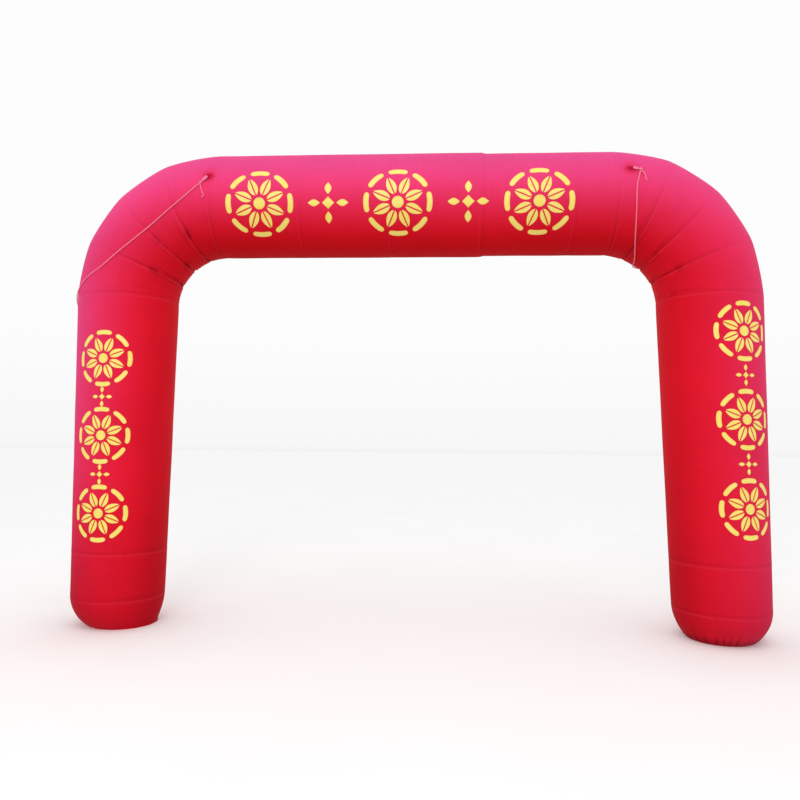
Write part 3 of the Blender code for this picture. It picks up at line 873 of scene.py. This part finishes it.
def smooth_route(points, facing, step):
    """Points about `step` apart along the centripetal Catmull-Rom curve through the route's own
    points, and the directions in `facing` carried along with them."""
    rows = np.concatenate([points, facing], axis=1)
    ends = np.concatenate([[2 * rows[0] - rows[1]], rows, [2 * rows[-1] - rows[-2]]])
    pieces = [ends[1:2]]
    for p0, p1, p2, p3 in zip(ends, ends[1:], ends[2:], ends[3:]):
        gaps = [np.linalg.norm((b - a)[:3]) ** 0.5 for a, b in ((p0, p1), (p1, p2), (p2, p3))]
        t1, t2, t3 = np.cumsum(gaps)
        count = max(1, round(np.linalg.norm((p2 - p1)[:3]) / step))
        t = (t1 + (t2 - t1) * np.arange(1, count + 1) / count)[:, None]
        a1 = (p0 * (t1 - t) + p1 * t) / t1
        a2 = (p1 * (t2 - t) + p2 * (t - t1)) / (t2 - t1)
        a3 = (p2 * (t3 - t) + p3 * (t - t2)) / (t3 - t2)
        b1 = (a1 * (t2 - t) + a2 * t) / t2
        b2 = (a2 * (t3 - t) + a3 * (t - t1)) / (t3 - t1)
        pieces.append((b1 * (t2 - t) + b2 * (t - t1)) / (t2 - t1))
    rows = np.concatenate(pieces)
    return rows[:, :3], rows[:, 3:]


def laid_rope(name, path, facing, radius, material):
    """A rope carried along a path: its section has a lobe for each strand and turns with the
    length, once every LAY. The section's radius is the rope's times 0.8 + 0.2 |cos 1.5a|^0.6."""
    along = np.gradient(path, axis=0)
    along /= np.linalg.norm(along, axis=1)[:, None]
    side_way = facing - (facing * along).sum(1)[:, None] * along
    side_way /= np.linalg.norm(side_way, axis=1)[:, None]
    other_way = np.cross(along, side_way)
    length = np.concatenate([[0], np.cumsum(np.linalg.norm(np.diff(path, axis=0), axis=1))])
    turn = np.linspace(0, 2 * math.pi, ROPE_AROUND, endpoint=False)[None, :]
    lobe = np.abs(np.cos(STRANDS / 2 * (turn - 2 * math.pi * length[:, None] / LAY))) ** 0.6
    reach = (radius * (0.8 + 0.2 * lobe))[..., None]
    out = np.cos(turn)[..., None] * side_way[:, None] + np.sin(turn)[..., None] * other_way[:, None]
    rings = path[:, None] + reach * out
    piece = skin(name, rings, marks={"painted_groove_shade": (1 - lobe) ** 1.5})
    piece.data.materials.append(material)
    return piece


def tied_knot(side, material):
    """A tight overhand knot, (sin t + 2 sin 2t, cos t - 2 cos 2t, -sin 3t), and the short tail
    that hangs from it over the cloth."""
    knot = on_tube(side, TIES[side]["knot"], KNOT_R + ROPE_CLEAR)
    up = off_tube(side, TIES[side]["knot"])
    tail = np.array([on_tube(side, place, ROPE_R + ROPE_CLEAR + 0.002) for place in TIES[side]["tail"]])
    down = tail[0] - knot
    down -= np.dot(down, up) * up
    down /= np.linalg.norm(down)
    across = np.cross(up, down)
    t = np.linspace(-0.9, 2 * math.pi - 1.35, 30)
    flat_x = KNOT_LOOP * (np.sin(t) + 2 * np.sin(2 * t))
    flat_y = KNOT_LOOP * (np.cos(t) - 2 * np.cos(2 * t))
    loops = knot + flat_x[:, None] * across - flat_y[:, None] * down
    loops = loops - (0.0052 * np.sin(3 * t))[:, None] * up
    points = np.concatenate([loops, tail])
    path, facing = smooth_route(points, np.broadcast_to(up, points.shape), ROPE_STEP / 2)
    piece = laid_rope(f"{side}_rope_knot", path, facing, KNOT_ROPE_R, material)
    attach(piece, "root")
    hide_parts(f"{side}_tie_knot")
    return piece


def coil_path(side, centre):
    """The coil's turns, outwards from where the rope runs into it. Two lie on the ground, the outer one
    slipping in under the second as that climbs, and the rest lie on them, moving out again."""
    degrees = np.arange(12, COIL_DEGREES, 4.0)
    radius = COIL_R + ROPE_R * (1 - 2 * smooth(degrees, 285, 345) + 2 * smooth(degrees, 885, 945))
    height = ROPE_R * (1 + 2 * smooth(degrees, 585, 645))
    angle = np.radians(degrees)
    turns = [centre[0] - SIGN[side] * radius * np.cos(angle), centre[1] + radius * np.sin(angle), height]
    return np.stack(turns, -1)


def guy_path(side):
    """Middle of the rope from its knot to the end of its coil, and the way its section faces."""
    lift = ROPE_R + ROPE_CLEAR
    points = [on_tube(side, place, lift) for place in ROUTES[side]]
    facing = [off_tube(side, place) for place in ROUTES[side]]
    knot = on_tube(side, TIES[side]["knot"], KNOT_R + ROPE_CLEAR)
    away = points[0] - knot
    points.insert(0, knot + away / np.linalg.norm(away) * (KNOT_R + 0.003))
    facing.insert(0, facing[0])
    hang = points[-1]
    outer = COIL_R + 2 * ROPE_R
    to_coil = COIL_BACK - math.sqrt(outer**2 - (COIL_R - ROPE_R) ** 2) - 0.0006
    points.append(np.array((hang[0], hang[1], hang[2] / 2)))
    facing.append(np.array((0, 1, 0)))
    for share, height in LANDING:
        points.append(np.array((hang[0], hang[1] + to_coil * share, height)))
        facing.append(np.array((0, 1 - min(1, share * 4), min(1, share * 4 + 0.05))))
    centre = np.array((hang[0] + SIGN[side] * COIL_R, hang[1] + COIL_BACK))
    points.append(np.array((hang[0] - SIGN[side] * ROPE_R * 0.8, centre[1] - 0.012, ROPE_R)))
    coil = coil_path(side, centre)
    facing += [np.array((0, 0, 1))] * (1 + len(coil))
    path, facing = smooth_route(np.concatenate([points, coil]), np.array(facing, float), ROPE_STEP)
    path[:, 2] = np.maximum(path[:, 2], ROPE_R)
    return path, facing


ROPE = nylon_rope()
for side in SIGN:
    knot = tied_knot(side, ROPE)
    path, facing = guy_path(side)
    rope = laid_rope(f"{side}_rope", path, facing, ROPE_R, ROPE)
    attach(rope, "root")
    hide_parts(f"{side}_guy_rope", f"{side}_guy_coil")
    bound, bound_facing = path[-WHIPPING_POINTS:], facing[-WHIPPING_POINTS:]
    whipping = laid_rope(f"{side}_rope_whipping", bound, bound_facing, WHIPPING_R, ROPE)
    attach(whipping, "root")

# ---------------------------------------------------------------------------------------------
# The studio: a pale floor that runs out to a white backdrop, soft light from above and in
# front, and a camera at standing height that looks up a little at the beam.

FLOOR_HALF = 150.0


def studio_floor():
    """Matt painted floor, pale grey, with faint broad marks."""
    material, tree = new_material("pale_studio_floor")
    place = add_node(tree, "ShaderNodeTexCoord").outputs["Object"]
    colour = blend_colour(tree, noise(tree, place, 0.8, 2.0), linear("#F6F6F6"), linear("#FBFBFB"))
    finish_with(tree, {"Base Color": colour, "Roughness": 0.9})
    mesh = bpy.data.meshes.new("studio_floor")
    size = FLOOR_HALF
    corners = [(-size, -size, 0), (size, -size, 0), (size, size, 0), (-size, size, 0)]
    mesh.from_pydata(corners, [], [(0, 1, 2, 3)])
    mesh.materials.append(material)
    floor = bpy.data.objects.new("studio_floor", mesh)
    bpy.context.scene.collection.objects.link(floor)
    floor.visible_diffuse = False
    floor.visible_glossy = False


def studio_world():
    """White overhead, as pale as the floor at the horizon so that no edge shows between them,
    and dimmer below it, so that undersides stay deep."""
    world = bpy.data.worlds.new("studio")
    world.use_nodes = True
    tree = world.node_tree
    tree.nodes.clear()
    heading = add_node(tree, "ShaderNodeTexCoord").outputs["Generated"]
    height = add_node(tree, "ShaderNodeSeparateXYZ", {0: heading}).outputs["Z"]
    share = math_node(tree, "MULTIPLY_ADD", height, 10.0, 1.0)
    share = add_node(tree, "ShaderNodeClamp", {0: share}).outputs[0]
    colour = blend_colour(tree, share, linear("#D2CBC9"), linear("#F9F9F9"))
    share = add_node(tree, "ShaderNodeClamp", {0: math_node(tree, "MULTIPLY", height, 6.0)}).outputs[0]
    colour = blend_colour(tree, share, colour, linear("#FFFFFF"))
    back = add_node(tree, "ShaderNodeBackground", {"Color": colour, "Strength": 0.98})
    add_node(tree, "ShaderNodeOutputWorld", {"Surface": back.outputs[0]})
    bpy.context.scene.world = world


def soft_light(name, place, target, size, watts, colour):
    """A square area light that looks at a target."""
    light = bpy.data.lights.new(name, "AREA")
    light.size = size
    light.energy = watts
    light.color = linear(colour)[:3]
    lamp = bpy.data.objects.new(name, light)
    lamp.location = place
    lamp.rotation_euler = (Vector(target) - Vector(place)).to_track_quat("-Z", "Y").to_euler()
    bpy.context.scene.collection.objects.link(lamp)


studio_floor()
studio_world()
soft_light("overhead", (0.0, -2.5, 10.0), (0.0, 0.0, 2.5), 9.0, 45.0, "#FFF8FB")
soft_light("front", (-1.5, -12.0, 6.0), (0.0, 0.0, 2.0), 4.0, 330.0, "#FFFBFA")
bpy.context.scene.view_settings.view_transform = "Standard"

camera = bpy.data.cameras.new("camera")
camera.lens = 30.6
camera.sensor_width = 36.0
CAMERA_YAW, CAMERA_PITCH, CAMERA_ROLL = -0.0597, 0.0672, 0.0112
heading = Vector(
    (
        math.sin(CAMERA_YAW) * math.cos(CAMERA_PITCH),
        math.cos(CAMERA_YAW) * math.cos(CAMERA_PITCH),
        math.sin(CAMERA_PITCH),
    )
)
view = bpy.data.objects.new("camera", camera)
view.location = (0.2538, -5.9561, 1.5704)
view.rotation_euler = (heading.to_track_quat("-Z", "Y") @ Quaternion((0, 0, 1), CAMERA_ROLL)).to_euler()
bpy.context.scene.collection.objects.link(view)
bpy.context.scene.camera = view
